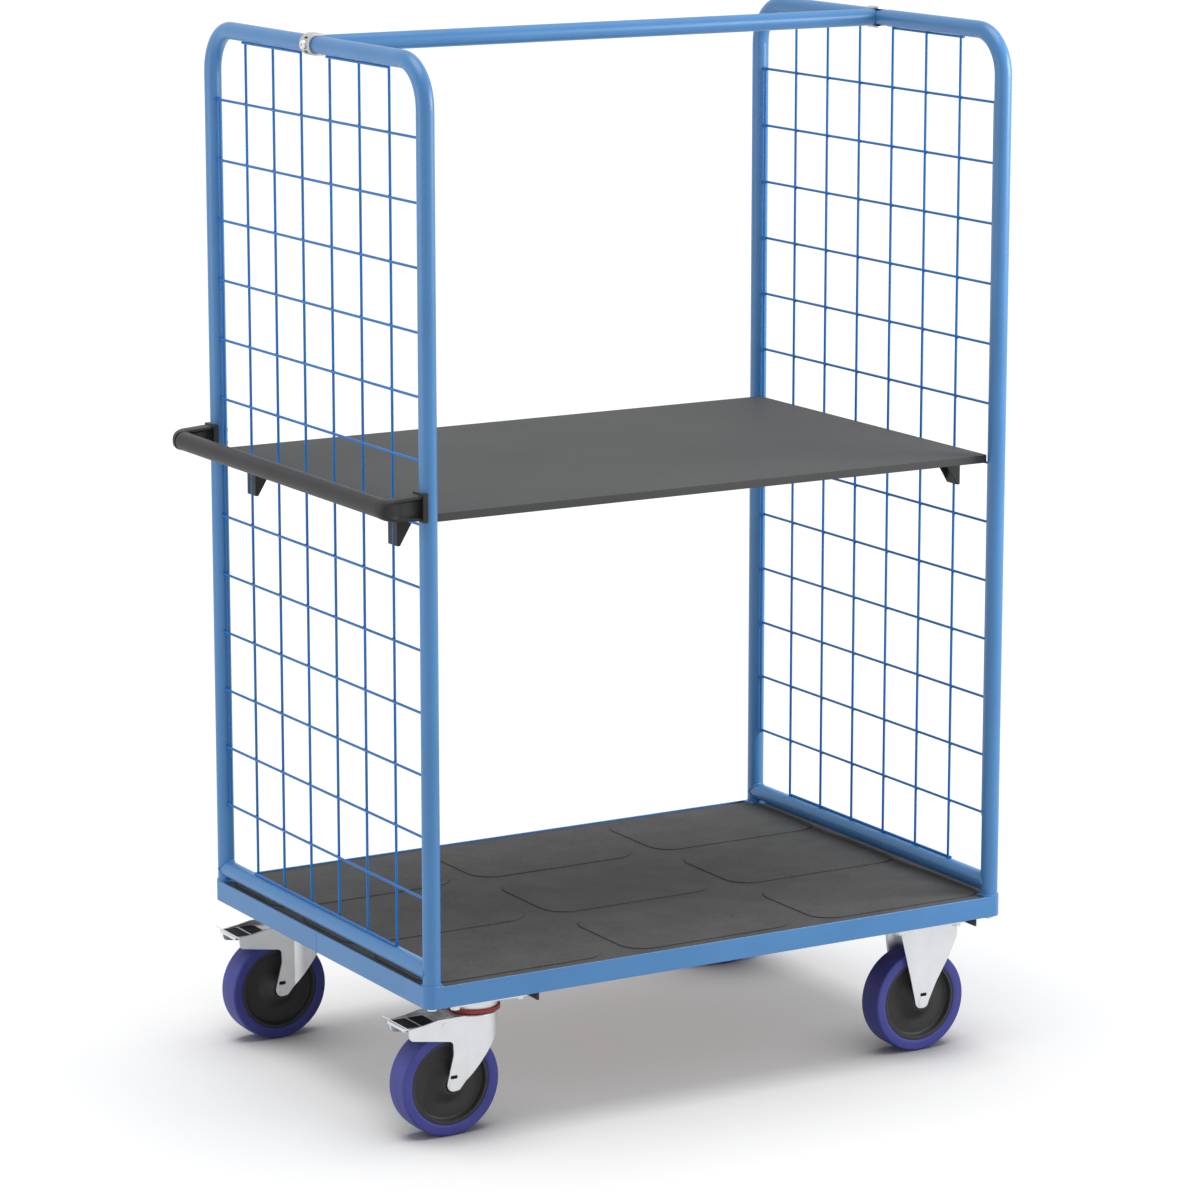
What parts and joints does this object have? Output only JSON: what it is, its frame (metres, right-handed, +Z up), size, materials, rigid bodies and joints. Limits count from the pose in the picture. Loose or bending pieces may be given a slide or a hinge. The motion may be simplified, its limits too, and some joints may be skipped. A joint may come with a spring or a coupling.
{
  "type": "mesh-ended shelf trolley",
  "caption": "Warehouse platform trolley with mesh end walls, cross tube, loose middle shelf, push handle, braked swivel casters and fixed casters.",
  "frame": {"origin": "middle of the whole length and width, on the floor under the wheels", "axes": "+Z up, +X along the platform away from the push handle, -Y and +Y the two open loading sides"},
  "size_m": [1.07, 0.703, 1.5761],
  "materials": {
    "blue_powder_coat": "powder coated steel, satin, fine orange peel",
    "dark_steel": "dark painted steel channel",
    "deck_plywood": "brown plywood, sawn edge",
    "mat_rubber": "black rubber mat, fine grain",
    "shelf_laminate": "dark grey coated board, satin",
    "black_plastic": "black moulded plastic, fine texture",
    "handle_grey": "dark grey plastic sleeve, satin",
    "zinc_plate": "bright zinc plated pressed steel",
    "bare_steel": "plain steel",
    "tyre_blue": "blue elastic rubber tyre, matt",
    "hub_plastic": "dark grey moulded hub",
    "seal_red": "red plastic dust seal"
  },
  "bodies": {
    "chassis": {"base_frame": "blue_powder_coat", "cross_members": "dark_steel", "deck_board": "deck_plywood", "deck_mat": "mat_rubber", "left_end_frame": "blue_powder_coat", "right_end_frame": "blue_powder_coat", "left_mesh": "blue_powder_coat", "right_mesh": "blue_powder_coat", "post_plugs": "bare_steel", "post_bolts": "bare_steel", "cross_tube": "blue_powder_coat", "cross_tube_plugs": "bare_steel", "left_cross_clip": "zinc_plate", "right_cross_clip": "zinc_plate", "cross_screws": "zinc_plate", "left_front_bracket": "black_plastic", "left_rear_bracket": "black_plastic", "right_front_bracket": "black_plastic", "right_rear_bracket": "black_plastic", "handle_bar": "handle_grey", "front_handle_arm": "black_plastic", "rear_handle_arm": "black_plastic", "handle_bolts": "bare_steel", "caster_bolts": "zinc_plate", "caster_nuts": "zinc_plate", "front_swivel_plate": "zinc_plate", "front_swivel_seal": "seal_red", "front_swivel_balls": "bare_steel", "front_kingpin": "bare_steel", "front_fixed_fork": "zinc_plate", "front_fixed_axle": "zinc_plate", "rear_swivel_plate": "zinc_plate", "rear_swivel_seal": "seal_red", "rear_swivel_balls": "bare_steel", "rear_kingpin": "bare_steel", "rear_fixed_fork": "zinc_plate", "rear_fixed_axle": "zinc_plate"},
    "shelf": {"shelf_board": "shelf_laminate"},
    "front_swivel": {"front_swivel_fork": "zinc_plate", "front_swivel_axle": "zinc_plate", "front_brake_pin": "zinc_plate"},
    "front_swivel_wheel": {"front_swivel_tyre": "tyre_blue", "front_swivel_hub": "hub_plastic", "front_swivel_bearing": "bare_steel"},
    "front_fixed_wheel": {"front_fixed_tyre": "tyre_blue", "front_fixed_hub": "hub_plastic", "front_fixed_bearing": "bare_steel"},
    "front_brake": {"front_brake_pedal": "zinc_plate"},
    "rear_swivel": {"rear_swivel_fork": "zinc_plate", "rear_swivel_axle": "zinc_plate", "rear_brake_pin": "zinc_plate"},
    "rear_swivel_wheel": {"rear_swivel_tyre": "tyre_blue", "rear_swivel_hub": "hub_plastic", "rear_swivel_bearing": "bare_steel"},
    "rear_fixed_wheel": {"rear_fixed_tyre": "tyre_blue", "rear_fixed_hub": "hub_plastic", "rear_fixed_bearing": "bare_steel"},
    "rear_brake": {"rear_brake_pedal": "zinc_plate"}
  },
  "joints": [
    {"name": "shelf_lift", "type": "slide", "parent": "chassis", "child": "shelf", "axis": [0, 0, 1], "range_m": [0, 0.09]},
    {"name": "front_caster_swivel", "type": "hinge", "parent": "chassis", "child": "front_swivel", "pos_m": [-0.3555, -0.277, 0.185], "axis": [0, 0, 1], "continuous": true},
    {"name": "front_swivel_wheel_spin", "type": "hinge", "parent": "front_swivel", "child": "front_swivel_wheel", "pos_m": [-0.4055, -0.277, 0.08], "axis": [0, 1, 0], "continuous": true},
    {"name": "front_brake_press", "type": "hinge", "parent": "front_swivel", "child": "front_brake", "pos_m": [-0.4195, -0.277, 0.17], "axis": [0, -1, 0], "range_deg": [0, 7]},
    {"name": "front_fixed_wheel_spin", "type": "hinge", "parent": "chassis", "child": "front_fixed_wheel", "pos_m": [0.4145, -0.277, 0.08], "axis": [0, 1, 0], "continuous": true},
    {"name": "rear_caster_swivel", "type": "hinge", "parent": "chassis", "child": "rear_swivel", "pos_m": [-0.3555, 0.277, 0.185], "axis": [0, 0, 1], "continuous": true},
    {"name": "rear_swivel_wheel_spin", "type": "hinge", "parent": "rear_swivel", "child": "rear_swivel_wheel", "pos_m": [-0.4055, 0.277, 0.08], "axis": [0, 1, 0], "continuous": true},
    {"name": "rear_brake_press", "type": "hinge", "parent": "rear_swivel", "child": "rear_brake", "pos_m": [-0.4195, 0.277, 0.17], "axis": [0, -1, 0], "range_deg": [0, 7]},
    {"name": "rear_fixed_wheel_spin", "type": "hinge", "parent": "chassis", "child": "rear_fixed_wheel", "pos_m": [0.4145, 0.277, 0.08], "axis": [0, 1, 0], "continuous": true}
  ]
}
